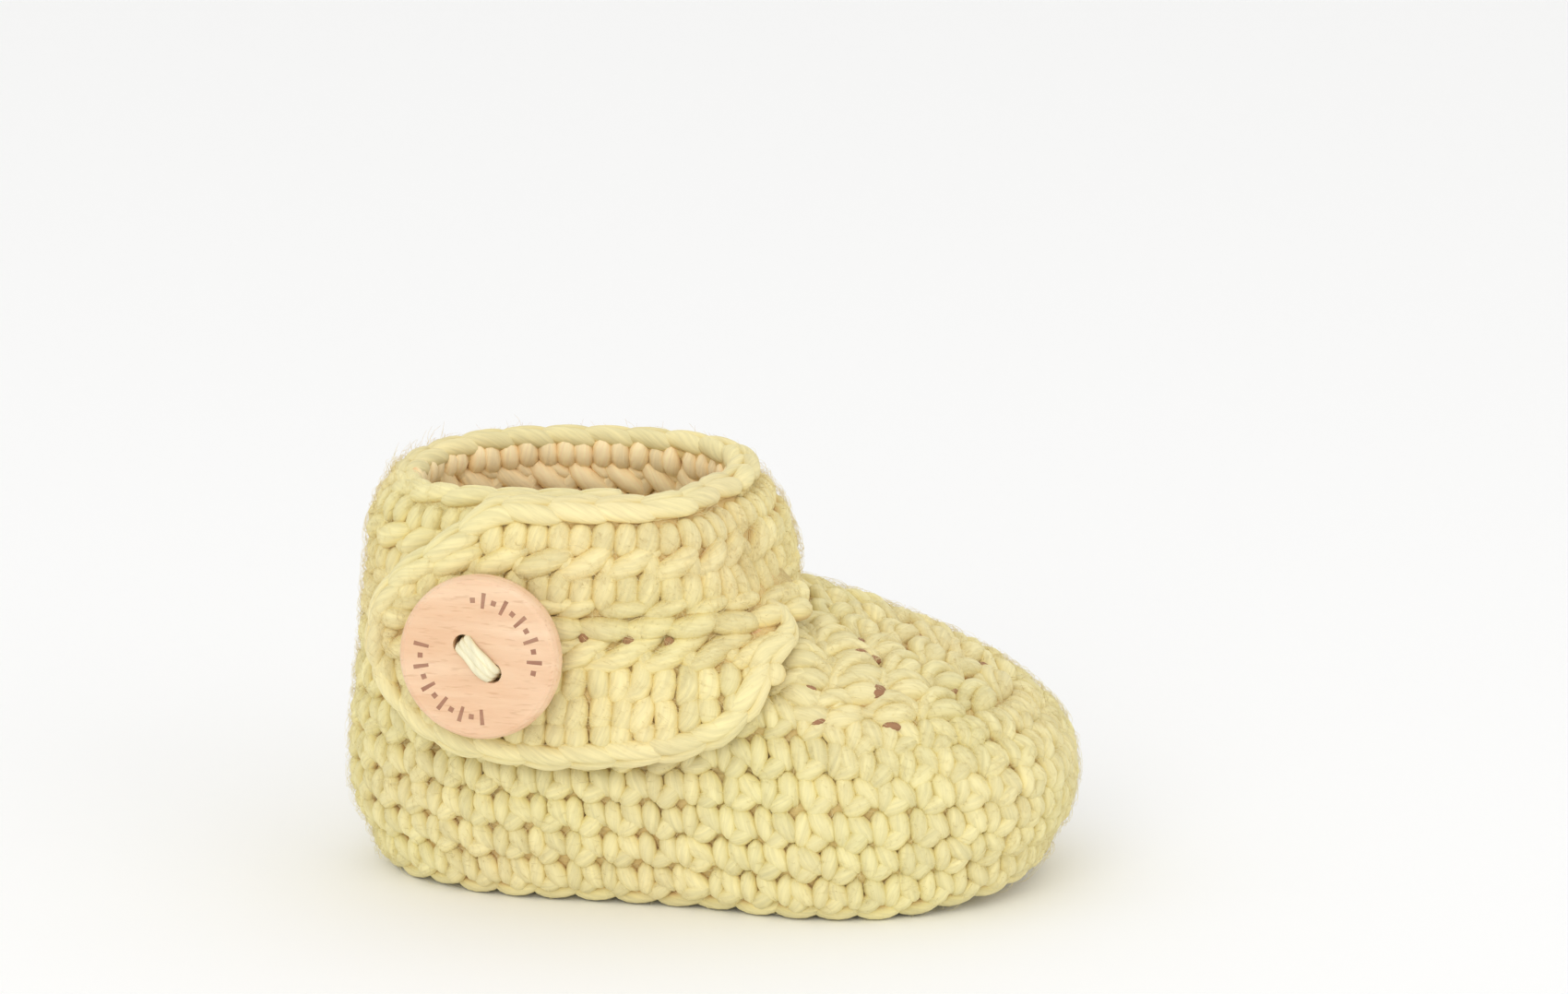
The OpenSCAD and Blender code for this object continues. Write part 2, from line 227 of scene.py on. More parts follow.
class Yarn:
    """Collects swept lengths of yarn and fabric shells, and makes one object of them."""

    def __init__(self):
        self.points, self.faces, self.uvs, self.deep, self.tint = [], [], [], [], []
        self.count = 0

    def add(self, points, faces, uv, deep, tint):
        self.points.append(points)
        self.faces.append(faces + self.count)
        self.uvs.append(uv)
        self.deep.append(deep)
        self.tint.append(tint)
        self.count += len(points)

    def sweep(self, centres, normals, widths, heights, sides, deep_at, deepest=1.0):
        """Yarn along each row of centres (pieces, rings, 3), its section an ellipse, with painted shade. The next to
        last argument is the painted shade of its sides, as if by how far into the crevices they look, from 0 to 1,
        and the last the most painted shade its underside may take."""
        pieces, rings = centres.shape[:2]
        along = unit(np.gradient(centres, axis=1))
        side = unit(np.cross(along, normals))
        up = np.cross(side, along)
        turn = (np.arange(sides) + 0.5) * 2 * np.pi / sides
        cos, sin = np.cos(turn)[None, None, :, None], np.sin(turn)[None, None, :, None]
        points = (centres[:, :, None] + side[:, :, None] * cos * widths[:, :, None, None] / 2
                  + up[:, :, None] * sin * heights[:, :, None, None] / 2)
        ring = np.arange(rings - 1)[:, None]
        k = np.arange(sides)[None, :]
        quads = np.stack([ring * sides + k, (ring + 1) * sides + k, (ring + 1) * sides + (k + 1) % sides,
                          ring * sides + (k + 1) % sides], axis=-1).reshape(-1, 4)
        k = np.arange(sides // 2 - 1)
        cap = np.stack([k, k + 1, sides - 2 - k, sides - 1 - k], axis=-1)
        quads = np.concatenate([quads, cap, cap[:, ::-1] + (rings - 1) * sides])
        faces = (quads[None] + (np.arange(pieces) * rings * sides)[:, None, None]).reshape(-1, 4)
        steps = np.linalg.norm(np.diff(centres, axis=1), axis=-1)
        travel = np.concatenate([np.zeros((pieces, 1)), np.cumsum(steps, axis=1)], axis=1)
        offset = rng.random((pieces, 2)) * 0.5
        girth = widths.max(axis=1)[:, None, None] * 1.6
        u = np.broadcast_to((travel + offset[:, :1])[:, :, None], points.shape[:3])
        v = turn[None, None, :] / (2 * np.pi) * girth + offset[:, 1][:, None, None]
        v = np.broadcast_to(v, points.shape[:3])
        # Painted shade: the side of each strand away from the fabric is painted lighter, the side against it and its
        # ends darker.
        light = sin[..., 0] * np.ones(points.shape[:3])
        ends = np.abs(np.linspace(-1, 1, rings))[None, :, None] ** 3
        deep = np.clip(deep_at - light * 0.75 + 0.35 * ends, 0, deepest)
        tint = np.broadcast_to(rng.random(pieces)[:, None, None], points.shape[:3])
        uv = np.stack([u, v], -1).reshape(-1, 2)
        self.add(points.reshape(-1, 3), faces, uv, deep.reshape(-1), tint.reshape(-1))

    def shell(self, outer, inner, closed):
        """The fabric that lies behind the stitches, painted all over in shade: a wall between two grids of points.
        """
        rows, cols = outer.shape[:2]
        points = np.concatenate([outer.reshape(-1, 3), inner.reshape(-1, 3)])
        spans = cols if closed else cols - 1
        count = rows * cols
        j, i = np.meshgrid(np.arange(rows - 1), np.arange(spans), indexing="ij")
        n = (i + 1) % cols
        quads = [np.stack([j * cols + i, j * cols + n, (j + 1) * cols + n, (j + 1) * cols + i], -1).reshape(-1, 4)]
        quads.append(quads[0][:, ::-1] + count)
        i = np.arange(spans)
        n = (i + 1) % cols
        top = (rows - 1) * cols
        quads.append(np.stack([i, count + i, count + n, n], -1))
        quads.append(np.stack([top + i, top + n, count + top + n, count + top + i], -1))
        if not closed:
            j = np.arange(rows - 1) * cols
            quads.append(np.stack([j, j + cols, count + j + cols, count + j], -1))
            j = j + cols - 1
            quads.append(np.stack([j, count + j, count + j + cols, j + cols], -1))
        uv = points[:, :2] + points[:, 2:]
        self.add(points, np.concatenate(quads), uv, np.full(len(points), CORE_SHADE), np.full(len(points), 0.5))

    def press(self, floor):
        """Flattens the yarn where it rests on the ground."""
        for points in self.points:
            points[:, 2] = np.maximum(points[:, 2], floor)

    def piece(self, name, material):
        points = np.concatenate(self.points)
        faces = np.concatenate(self.faces)
        mesh = bpy.data.meshes.new(name)
        mesh.vertices.add(len(points))
        mesh.vertices.foreach_set("co", points.astype(np.float32).ravel())
        mesh.loops.add(faces.size)
        mesh.loops.foreach_set("vertex_index", faces.astype(np.int32).ravel())
        mesh.polygons.add(len(faces))
        mesh.polygons.foreach_set("loop_start", np.arange(0, faces.size, 4, dtype=np.int32))
        mesh.polygons.foreach_set("use_smooth", np.ones(len(faces), dtype=bool))
        mesh.update(calc_edges=True)
        layer = mesh.uv_layers.new(name="yarn")
        layer.data.foreach_set("uv", np.concatenate(self.uvs)[faces.ravel()].astype(np.float32).ravel())
        # Each point's painted shade and random tone go to the material as attributes.
        for word, values in (("deep", self.deep), ("tint", self.tint)):
            attribute = mesh.attributes.new(word, "FLOAT", "POINT")
            attribute.data.foreach_set("value", np.concatenate(values).astype(np.float32))
        mesh.materials.append(material)
        obj = bpy.data.objects.new(name, mesh)
        bpy.context.scene.collection.objects.link(obj)
        return obj


def patch_frames(patch, a, b, da=TURN_STEP, db=HEIGHT_STEP):
    """A point of a patch, how it moves with a and with b, and its unit normal."""
    p = patch(a, b)
    ra = (patch(a + da, b) - patch(a - da, b)) / (2 * da)
    rb = (patch(a, b + db) - patch(a, b - db)) / (2 * db)
    return p, ra, rb, unit(np.cross(ra, rb))


def vary(amount):
    return float(rng.normal(0, amount))


def oval(a, b, right, up, lean, long, wide, high, rise, spread=(0, 0, 0, 0), turn=1, bow=0.0, tip=0.0, tip_spread=0):
    """A short oval of yarn near the point a, b of a patch, right and up from it in mm. lean is in degrees from
    upright to the right, long, wide and high are in mm, and rise is the height of its middle over the patch. bow is
    its sideways curve, tip how much narrower its top is. spread is how much right, up, lean and rise vary, and turn
    is -1 on a back, where the lean is mirrored."""
    def near(value, amount):
        return value + vary(amount) if amount else value

    return dict(at=(a, b), move=(near(right, spread[0]), near(up, spread[1])), lean=turn * near(lean, spread[2]),
                long=long, wide=wide, high=high, bow=bow, tip=near(tip, tip_spread), rise=near(rise, spread[3]))


def lay(yarn, patch, ovals, fineness=FINE, lift=OUTER_LIFT, deep_at=YARN_SHADE, deepest=1.0, da=TURN_STEP):
    """Lays short ovals of yarn, described as in oval(), on a patch. The painted shade of their sides and its limit
    are as in sweep.
    """
    def column(word):
        return np.array([shape.get(word, 0.0) for shape in ovals], float)

    rings, sides = fineness
    a0, b0 = np.array([shape["at"] for shape in ovals], float).T
    move = np.array([shape["move"] for shape in ovals], float) * MM
    lean, tip = np.radians(column("lean")), column("tip")
    long, wide, high, bow, rise = (column(word) * MM for word in ("long", "wide", "high", "bow", "rise"))
    t = -np.cos(np.linspace(0.09, np.pi - 0.09, rings))[None, :]
    t = t / t.max()
    across = bow[:, None] * (1 - t ** 2)
    x = move[:, :1] + t * long[:, None] / 2 * np.sin(lean)[:, None] + across * np.cos(lean)[:, None]
    y = move[:, 1:] + t * long[:, None] / 2 * np.cos(lean)[:, None] - across * np.sin(lean)[:, None]
    _, ra, rb, _ = patch_frames(patch, a0, b0, da)
    right_length = np.linalg.norm(ra, axis=-1)[:, None]
    right = ra / right_length
    skew = np.sum(rb * right, axis=-1, keepdims=True)
    up_length = np.maximum(np.linalg.norm(rb - right * skew, axis=-1), 0.35)[:, None]
    b = b0[:, None] + y / up_length
    a = a0[:, None] + x / right_length - (y / up_length) * (skew / right_length)
    p, _, _, n = patch_frames(patch, a, b, da)
    body = (1 - np.abs(t) ** 2.5) ** 0.5
    body = np.maximum(body, 0.16) * (1 - tip[:, None] * t)
    arch = (1 - t ** 2) * 0.34 * high[:, None]
    centres = p + n * (rise[:, None] + lift - 0.24 * high[:, None] + arch)[..., None]
    yarn.sweep(centres, n, wide[:, None] * body, high[:, None] * body, sides, deep_at, deepest)


FIBRE = 0.045 * MM              # thickness of a loose fibre at its root


def fuzz(yarn, patch, count, low, high, lift=0.0, keep=None):
    """Fine loose fibres over a patch, between two corners (a, b) of it, and only where keep(a, b) allows."""
    rings, sides, deep_at = 5, 4, 0.1
    a0 = rng.uniform(low[0], high[0], count)
    b0 = rng.uniform(low[1], high[1], count)
    turn = rng.uniform(0, 2 * np.pi, count)[:, None]
    long = rng.uniform(1.2, 3.6, count)[:, None] * MM
    curl = rng.normal(0, 0.9, count)[:, None]
    t = np.linspace(0, 1, rings)[None, :]
    _, ra, rb, _ = patch_frames(patch, a0, b0)
    x = t * long * np.cos(turn + curl * t)
    y = t * long * np.sin(turn + curl * t)
    a = a0[:, None] + x / np.maximum(np.linalg.norm(ra, axis=-1), 1e-4)[:, None]
    b = b0[:, None] + y / np.maximum(np.linalg.norm(rb, axis=-1), 0.5)[:, None]
    base, _, _, n = patch_frames(patch, a, b)
    stand = (0.25 + np.sin(t * 2.6) * rng.uniform(0.35, 1.0, count)[:, None]) * MM
    width = np.broadcast_to(FIBRE * (1 - 0.6 * t), (count, rings))
    kept = np.array([keep is None or keep(*spot) for spot in zip(a[:, -1], b[:, -1])])
    centres = base + n * (stand + lift)[..., None]
    yarn.sweep(centres[kept], n[kept], width[kept], width[kept], sides, deep_at)


def ring_line(z, start=0.0, end=360.0, patch=skin):
    """Angles along a ring of a patch, and how far round it they lie."""
    turn = np.linspace(start, end, 721)
    return turn, travelled(patch(turn, np.full_like(turn, z)))


def around(z, pitch, start=0.0, end=360.0, shift=0.0, patch=skin):
    """Angles that lie about one pitch (in mm) apart along a ring, and their true pitch."""
    turn, travel = ring_line(z, start, end, patch)
    count = max(1, round(travel[-1] / (pitch * MM)))
    places = (np.arange(count) + shift % 1.0) / count * travel[-1]
    return np.interp(places, travel, turn), travel[-1] / count / MM


def single_crochet(places, z, pitch, size=1.0):
    """A round of single crochet: an upright oval, one that leans back from it and a short one at its foot."""
    wide = pitch / 4.65
    ovals = []
    for a in places:
        ovals += [oval(a, z, 0, 0.15, -3, 4.9 * size, 2.45 * wide, 2.45, 0.3, (0.12, 0.12, 6, 0.08), tip=-0.12),
                  oval(a, z, -2.15 * wide, 0.5 * size, -33, 4.7 * size, 2.85 * wide, 2.45, 0.24,
                       (0.12, 0.12, 7, 0.1), tip=-0.12),
                  oval(a, z, 1.75 * wide, -1.0 * size, 43, 4.2 * size, 2.7 * wide, 2.45, 0.26,
                       (0.12, 0.12, 8, 0.1), tip=0.08)]
    return ovals


# ---------------------------------------------------------------- flap

ROOT_ANGLE = CUFF_START + 360 - 1.5
ROOT_Z = CUFF_BOTTOM + 2.6 * MM
FLAP_TOP = CUFF_TOP + 0.4 * MM
FLAP_BOTTOM = 22 * MM
BUTTON_R = 10 * MM
TIP_R = BUTTON_R + 2 * MM
BUTTON_X = -0.2505 * FOOT_LENGTH
BUTTON_Z = 0.684 * CUFF_TOP
SLANT = 41.0
LOWER_EDGE = np.array([[-0.2505, 0], [-0.18, -0.012], [-0.1, 0], [-0.03, 0.02], [0.022, 0.06],
                       [0.052, 0.12], [0.064, 0.2], [0.062, 0.33]])
FLAP_GAP = 0.7 * MM


def angle_at(x, z):
    """The angle, on the -Y side, at which the ring at height z has a given x."""
    ring = ring_at(z)
    centre, reach = middle_and_reach(ring)
    share = np.clip((x - centre) / reach, -1, 1)
    return 360 - np.degrees(np.arccos(signed_power(share, 1 / ring[..., 5])))


def flap_lift(angle, z):
    """How far the flap lies outside the skin: over it, and in line with the cuff's wall at its root."""
    tip = 2 * MM * (1 - ease(angle, 215, 275))
    instep = 2.3 * MM * ease(angle, 300, 322) * (1 - ease(z, CUFF_BOTTOM, CUFF_BOTTOM + 4 * MM))
    root = ease(angle, 292, 330) * ease(z, CUFF_BOTTOM + 0.8 * MM, CUFF_BOTTOM + 8 * MM)
    return mix(FLAP_GAP + tip + instep, -FABRIC, root)


def flap_outer(a, b):
    return skin(a, b, flap_lift(a, b) + FABRIC)


def flap_inner(a, b):
    a = -np.asarray(a, float)
    return skin(a, b, flap_lift(a, b))


def tip_point(turn):
    x = BUTTON_X + TIP_R * math.cos(math.radians(turn))
    z = BUTTON_Z + TIP_R * math.sin(math.radians(turn))
    return float(angle_at(x, z)), z


def bottom_edge(u):
    """The flap's edge from the tip round under the button to the root, u from 0 to 1, as (angle, height)."""
    if u < 0.3:
        return tip_point(mix(186, 270, u / 0.3))
    share = (u - 0.3) / 0.7
    t = share * (len(LOWER_EDGE) - 1)
    i = min(int(t), len(LOWER_EDGE) - 2)
    p = mix(LOWER_EDGE[i], LOWER_EDGE[i + 1], t - i)
    z = min(ROOT_Z, float(mix(BUTTON_Z - TIP_R, FLAP_BOTTOM, ease(share, 0, 0.3))) + p[1] * CUFF_TOP)
    return min(float(angle_at(p[0] * FOOT_LENGTH, z)), ROOT_ANGLE), z


def top_edge(u):
    """The flap's edge from the tip over the button and along the rim to the root."""
    if u < 0.3:
        return tip_point(mix(174, 90 + SLANT, u / 0.3))
    sin, cos = math.sin(math.radians(SLANT)), math.cos(math.radians(SLANT))
    length = (FLAP_TOP - (BUTTON_Z + TIP_R * cos)) / sin
    s = min(1.0, (u - 0.3) / 0.2) * length
    z = BUTTON_Z + TIP_R * cos + s * sin
    corner = float(angle_at(BUTTON_X - TIP_R * sin + s * cos, z))
    if u <= 0.5:
        return corner, z
    return mix(corner, ROOT_ANGLE, (u - 0.5) / 0.5), FLAP_TOP


# ---------------------------------------------------------------- materials

def linear(red, green, blue):
    """A colour given as it looks on a screen, 0 to 255, as Blender's linear values."""
    def one(value):
        value = value / 255
        return value / 12.92 if value <= 0.04045 else ((value + 0.055) / 1.055) ** 2.4
    return (one(red), one(green), one(blue), 1.0)


class Value:
    """A value in a material. Sums, products and comparisons with it become Math nodes."""

    def __init__(self, shader, socket):
        self.shader, self.socket = shader, socket

    def __add__(self, other):
        return self.shader.math("ADD", self, other)

    def __radd__(self, other):
        return self.shader.math("ADD", other, self)

    def __sub__(self, other):
        return self.shader.math("SUBTRACT", self, other)

    def __mul__(self, other):
        return self.shader.math("MULTIPLY", self, other)

    def __lt__(self, other):
        return self.shader.math("LESS_THAN", self, other)

    def __gt__(self, other):
        return self.shader.math("GREATER_THAN", self, other)


class Shader:
    """A material being built. add() makes a node, sets or links its inputs, and gives one of its outputs."""

    def __init__(self, name):
        self.material = bpy.data.materials.new(name)
        self.material.use_nodes = True
        self.tree = self.material.node_tree

    def node(self, kind, inputs, **settings):
        node = self.tree.nodes.new("ShaderNode" + kind)
        for word, value in settings.items():
            setattr(node, word, value)
        self.fill(node, inputs)
        return node

    def fill(self, node, inputs):
        for key, value in inputs.items():
            if isinstance(value, Value):
                self.tree.links.new(value.socket, node.inputs[key])
            else:
                node.inputs[key].default_value = value

    def add(self, kind, inputs, output=0, **settings):
        return Value(self, self.node(kind, inputs, **settings).outputs[output])

    def math(self, operation, a, b=0.0):
        return self.add("Math", {0: a, 1: b}, operation=operation)

    def split(self, vector):
        return [Value(self, socket) for socket in self.node("SeparateXYZ", {0: vector}).outputs]

    def noise(self, place, scale, detail, **inputs):
        return self.add("TexNoise", {"Vector": place, "Scale": scale, "Detail": detail, **inputs}, "Fac")

    def mix(self, share, a, b, blend="MIX"):
        return self.add("Mix", {0: share, 6: a, 7: b}, 2, data_type="RGBA", blend_type=blend)

    def ramp(self, value, stops):
        node = self.node("ValToRGB", {0: value})
        elements = node.color_ramp.elements
        while len(elements) < len(stops):
            elements.new(0.5)
        for element, (place, colour) in zip(elements, stops):
            element.position = place
            element.color = colour
        return Value(self, node.outputs[0])

    def finish(self, colour, relief, strength, distance, **looks):
        bump = self.add("Bump", {"Height": relief, "Strength": strength, "Distance": distance})
        looks = {word.replace("_", " "): value for word, value in looks.items()}
        self.fill(self.tree.nodes["Principled BSDF"], {"Base Color": colour, "Normal": bump, **looks})
        return self.material


def yarn_material(name, light, middle, crevice_shade, hole_shade):
    """Soft baby yarn: fine fibres along each strand, a crown painted paler and crevices painted in warm shade."""
    shader = Shader(name)
    deep, tint = (shader.add("Attribute", {}, "Fac", attribute_name=word) for word in ("deep", "tint"))
    place = shader.add("TexCoord", {}, "Object")
    along, around_it, _ = shader.split(shader.add("UVMap", {}, uv_map="yarn"))
    twist = around_it + along * 0.22
    fibre_place = shader.add("CombineXYZ", {0: along * 260.0, 1: twist * 3600.0, 2: tint * 40.0})
    ply_place = shader.add("CombineXYZ", {0: along * 130.0, 1: twist * 1100.0, 2: tint * 25.0})
    fibres = shader.noise(fibre_place, 1.0, 3.0, Roughness=0.6)
    plies = shader.noise(ply_place, 1.0, 2.0)
    felt = shader.noise(place, 1500.0, 3.0)
    broad = shader.noise(place, 55.0, 2.0)
    # The colour runs from the crown's painted light through painted shade in the crevices to the holes painted dark.
    colour = shader.ramp(deep, [(0.0, linear(*light)), (0.4, linear(*middle)), (0.8, linear(*crevice_shade)),
                                (1.0, linear(*hole_shade))])
    value = 1.0 + ((fibres - 0.5) * 0.5 + (tint - 0.5) * 0.12)
    hue = 0.5 + (broad - 0.5) * 0.03
    colour = shader.add("HueSaturation", {"Hue": hue, "Value": value, "Color": colour})
    return shader.finish(colour, fibres * 0.45 + (plies * 0.9 + felt * 0.3), 0.55, 0.00022, Roughness=0.88,
                         Specular_IOR_Level=0.2, Sheen_Weight=0.12, Sheen_Roughness=0.5,
                         Sheen_Tint=(1.0, 0.97, 0.72, 1.0))


BUTTON_JOINT = next(joint for joint in frame["joints"] if joint["name"] == "button_turn")
BUTTON_AXIS = Vector(BUTTON_JOINT["axis"]).normalized()
# The turn that stands the Z axis along the button's axis, as the CAD part has it.
BUTTON_TURN = (Matrix.Rotation(math.atan2(BUTTON_AXIS.y, BUTTON_AXIS.x), 3, "Z")
               @ Matrix.Rotation(math.acos(BUTTON_AXIS.z), 3, "Y"))

MARKS = 34                      # marks and dots in a whole ring
MARKS_RADIUS = 7.1 * MM
MARKS_TURN = 1.6                # turns the two arcs of marks, in half-angle radians
FACE_Z = 3.5 * MM               # above this, along the button's axis, lies its face


def wood_material():
    """Pale wood with fine grain, and two arcs of burnt marks round the face in place of lettering."""
    shader = Shader("button_wood")
    turn = BUTTON_TURN.transposed()
    local = shader.add("Mapping", {"Vector": shader.add("TexCoord", {}, "Object"), "Rotation": turn.to_euler(),
                                   "Location": -(turn @ Vector(BUTTON_JOINT["pos_m"]))})
    x, y, z = shader.split(local)
    grain_place = shader.add("Mapping", {"Vector": local, "Scale": (1.0, 0.14, 1.0),
                                         "Rotation": (0, 0, math.radians(35))})
    grain = shader.noise(grain_place, 900.0, 6.0, Roughness=0.62, Distortion=0.3)
    rings = shader.noise(grain_place, 260.0, 2.0)
    pores = shader.noise(grain_place, 2600.0, 2.0)
    white = (1, 1, 1, 1)
    colour = shader.ramp(grain, [(0.25, linear(233, 197, 162)), (0.55, linear(241, 209, 175)),
                                 (0.8, linear(245, 217, 186))])
    colour = shader.mix(0.5, colour, shader.ramp(rings, [(0.35, linear(236, 214, 196)), (0.65, white)]), "MULTIPLY")
    colour = shader.mix(0.45, colour, shader.ramp(pores, [(0.28, (0.72, 0.6, 0.5, 1)), (0.42, white)]), "MULTIPLY")
    # Short radial marks and dots by turns, in two arcs; the rest of the ring is plain.
    round_turn = shader.math("ARCTAN2", y, x)
    marks = round_turn * (MARKS / (2 * math.pi))
    dash = shader.math("FRACT", marks * 0.5) < 0.5
    wide = shader.math("ABSOLUTE", shader.math("FRACT", marks) - 0.5) < 0.24 + dash * -0.06
    radius = shader.math("SQRT", x * x + y * y)
    band = shader.math("ABSOLUTE", radius - MARKS_RADIUS) < 0.32 * MM + dash * (0.63 * MM)
    arcs = shader.math("COSINE", round_turn * 2.0 + MARKS_TURN) > -0.45
    burnt = (wide * band) * (arcs * (z > FACE_Z))
    colour = shader.mix(burnt * (0.45 + grain * 0.6), colour, linear(140, 84, 62))
    return shader.finish(colour, grain * 0.35 - burnt * 1.0, 0.5, 0.0002, Roughness=0.48, Specular_IOR_Level=0.4,
                         Subsurface_Weight=0.12, Subsurface_Radius=(1.0, 0.5, 0.3), Subsurface_Scale=0.001)


# ---------------------------------------------------------------- crochet

PITCH = 4.75                    # mm between the stitches of the foot
CUFF_PITCH = 5.4                # mm between the stitches of the cuff and flap
INSIDE_PITCH = 0.86             # pitch on the inner face of the foot / pitch on the outer one
ROUND_SHIFT = 0.17              # how far each round of the foot starts after the last, in stitches
STITCH_HEIGHT = 4.5 * MM        # of a single crochet of size 1
WALL_ROWS = 4
QUARTER_ROWS = 3
FIRST_ROW = 1.3 * MM            # the height that the side wall's rows start at
ROW = (WALL_TOP - FIRST_ROW) / WALL_ROWS


def foot_core(yarn, low, high, rows, turn, closed=False):
    """The plain fabric behind the stitches of the foot or ankle, between two heights."""
    z, a = np.meshgrid(np.linspace(low, high, rows), turn, indexing="ij")
    p, _, _, n = patch_frames(skin, a, z)
    yarn.shell(p + n * CORE_OUT, p + n * CORE_IN, closed)


STITCHES = round(ring_line(11 * MM)[1][-1] / MM / PITCH)     # in one round of the foot


def foot_round(z, number):
    """The stitches' angles and their pitch in a round of the foot, each round a little on from the last."""
    turn, travel = ring_line(z)
    places = (np.arange(STITCHES) + ROUND_SHIFT * number) / STITCHES
    return np.interp(places % 1.0 * travel[-1], travel, turn), travel[-1] / STITCHES / MM


def wall_row(number):
    """Height, stitch angles and pitch of a round of the side wall, counted from the sole."""
    z = FIRST_ROW + ROW * (number + 0.5)
    return z, *foot_round(z, number)


def build_side_wall(material, inside_lit_yarn):
    yarn = Yarn()
    foot_core(yarn, 1.2 * MM, WALL_TOP, 8, np.arange(0, 360, 5), True)
    for number in range(WALL_ROWS):
        z, places, pitch = wall_row(number)
        lay(yarn, skin, single_crochet(places, z, pitch, ROW / STITCH_HEIGHT))
    inside = Yarn()
    for number in range(1, WALL_ROWS):
        z, places, pitch = wall_row(number)
        lay(inside, inner_patch, single_crochet(-places, z, pitch * INSIDE_PITCH), COARSE)
    fuzz(yarn, skin, 2400, (0, 2 * MM), (360, WALL_TOP))
    yarn.press(0.05 * MM)
    return yarn.piece("side_wall_stitches", material), inside.piece("side_wall_inside", inside_lit_yarn)


def build_heel_quarter(material, inside_lit_yarn):
    yarn, inside = Yarn(), Yarn()
    turn = np.arange(TOE_HALF_ANGLE, 360 - TOE_HALF_ANGLE + 0.1, 5)
    foot_core(yarn, WALL_TOP, CUFF_BOTTOM, 7, turn)
    step = (CUFF_BOTTOM - 1.7 * MM - WALL_TOP) / QUARTER_ROWS
    for number in range(QUARTER_ROWS):
        z = WALL_TOP + step * (number + 0.5)
        places, pitch = foot_round(z, number + WALL_ROWS)
        places = places[np.minimum(places, 360 - places) > TOE_HALF_ANGLE - 2.5]
        lay(yarn, skin, single_crochet(places, z, pitch, step / STITCH_HEIGHT))
        lay(inside, inner_patch, single_crochet(-places, z, pitch * INSIDE_PITCH, 1.08), COARSE)
    fuzz(yarn, skin, 1800, (TOE_HALF_ANGLE, WALL_TOP), (360 - TOE_HALF_ANGLE, CUFF_BOTTOM))
    return yarn.piece("heel_quarter_stitches", material), inside.piece("heel_quarter_inside", inside_lit_yarn)


# The toe cap's rows lie an even distance apart from the wall up, so they bend round the toes.
CAP_TURN = np.arange(-72.0, 72.1, 2.0)
CAP_Z = np.linspace(WALL_TOP, CUFF_BOTTOM + 2 * MM, 120)
CAP_LINES = skin(CAP_TURN[:, None], CAP_Z[None, :])
CAP_TRAVEL = np.array([travelled(line) for line in CAP_LINES])
CAP_STEP = 0.25 * MM
CAP_ROW = 4.4 * MM
LOOP_PITCH = 7.0                # mm between the large loops of the upper rows
# The larger gaps between the loops on the outer side, each filled with an oval painted dark as its shade: angle,
# distance up the slope, length and rise in mm.
CAP_GAPS = ((-47.5, 14.7, 4.0, 1.4), (-31, 24, 2.6, 1.3), (-53.5, 8, 2.4, 1.15), (-67, 9, 1.8, 1.2),
            (-60.5, 15.7, 2.4, 1.3))
CAP_PLACES = np.arange(0, CAP_TRAVEL.max(), CAP_STEP)
CAP_TABLE = np.array([np.interp(CAP_PLACES, travel, CAP_Z) for travel in CAP_TRAVEL])
CAP_LENGTH = np.array([np.interp(CUFF_BOTTOM - 0.8 * MM, CAP_Z, travel) for travel in CAP_TRAVEL])


def cap_height(a, b):
    """The height of a point of the toe cap at angle a, a distance b up its slope from the wall."""
    i = np.clip((np.asarray(a, float) - CAP_TURN[0]) / 2.0, 0, len(CAP_TURN) - 1.001)
    j = np.clip(np.asarray(b, float) / CAP_STEP, -8, CAP_TABLE.shape[1] - 1.001)
    i, j = np.broadcast_arrays(i, j)
    below = WALL_TOP + np.minimum(j, 0) * CAP_STEP
    j = np.maximum(j, 0)
    i0, j0 = i.astype(int), j.astype(int)
    fi, fj = i - i0, j - j0
    low, high = ((1 - fj) * CAP_TABLE[k, j0] + fj * CAP_TABLE[k, j0 + 1] for k in (i0, i0 + 1))
    return (1 - fi) * low + fi * high + below - WALL_TOP


def cap_patch(a, b):
    return skin(a, cap_height(a, b))


def cap_inner_patch(a, b):
    return inner_patch(a, cap_height(-np.asarray(a, float), b))


def toe_loops(angle, b, pitch, turned, hollow):
    """One large loop of the toe cap: an arc over a fat oval, and beside it two posts, or a low oval at a hollow that
    the caller paints dark as shade.
    """
    half = pitch / 2
    ovals = [oval(angle, b, 0, -0.7, 90 + turned * 9, pitch - 1.0, 3.4, 2.9, 0.35, (0.3, 0.15, 10, 0.12),
                  bow=-0.4, tip_spread=0.1),
             oval(angle, b, 0, -0.5, 90 + turned * 8, pitch + 1.5, 2.4, 2.6, 0.35, (0.2, 0.12, 8, 0.12),
                  bow=-2.7, tip=turned * 0.1)]
    if hollow:
        return ovals + [oval(angle, b, half, 0.6, 90, 3.4, 2.0, 2.0, -0.1, (0, 0, 10, 0.08), bow=0.4)]
    return ovals + [oval(angle, b, half + side * 0.9, 1.35, side * 27, 4.2, 2.3, 2.3, -0.1, (0, 0.15, 6, 0.08),
                         tip=-0.12) for side in (-1, 1)]


